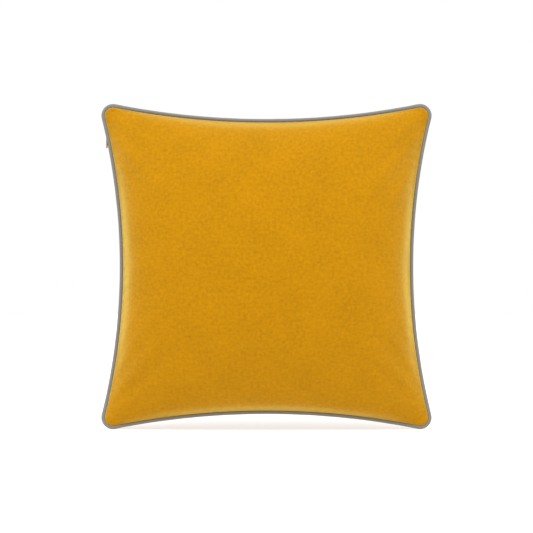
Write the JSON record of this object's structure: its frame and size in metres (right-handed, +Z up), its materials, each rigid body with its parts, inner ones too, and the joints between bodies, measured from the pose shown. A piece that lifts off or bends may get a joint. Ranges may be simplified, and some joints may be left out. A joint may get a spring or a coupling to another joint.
{
  "type": "throw pillow",
  "caption": "Square velvet throw pillow with a piped edge, bowed-in sides and pinched corners, a side zip with a moving slider and pull, and a filled inner pad.",
  "frame": {"origin": "on the ground under the middle of the pillow as it stands on its two lower corners", "axes": "+Z up, -Y towards the front panel, +X to the viewer's right; the zip is in the -X side"},
  "size_m": [0.436, 0.1358, 0.4292],
  "materials": {
    "velvet": "matte",
    "piping_cloth": "matte",
    "cotton_cord": "matte",
    "thread": "satin",
    "zip_tape": "matte",
    "zip_coil": "satin",
    "gold_metal": "satin",
    "label": "satin",
    "calico": "matte",
    "fibre": "matte",
    "pad_thread": "satin"
  },
  "bodies": {
    "cover_and_pad": {"front_panel": "velvet", "back_panel": "velvet", "piping_sleeve": "piping_cloth", "piping_cord": "cotton_cord", "cover_seam_thread": "thread", "zip_tape_front": "zip_tape", "zip_tape_back": "zip_tape", "zip_coil_front": "zip_coil", "zip_coil_back": "zip_coil", "zip_stitch_front": "thread", "zip_stitch_back": "thread", "zip_top_stop": "gold_metal", "zip_bottom_stop": "gold_metal", "bar_tack_top": "thread", "bar_tack_bottom": "thread", "care_label": "label", "pad_casing_front": "calico", "pad_casing_back": "calico", "pad_fill": "fibre", "pad_seam_thread": "pad_thread", "pad_label": "label"},
    "slider": {"zip_slider": "gold_metal"},
    "pull": {"zip_pull": "gold_metal"}
  },
  "joints": [
    {"name": "slider_travel", "type": "hinge", "parent": "cover_and_pad", "child": "slider", "pos_m": [-1.00692, 0.0072, 0.2146], "axis": [0, 1, 0], "range_deg": [0, 25.1]},
    {"name": "pull_swing", "type": "hinge", "parent": "slider", "child": "pull", "pos_m": [-0.21122, 0.0072, 0.39079], "axis": [0, 1, 0], "range_deg": [-8, 150]}
  ]
}
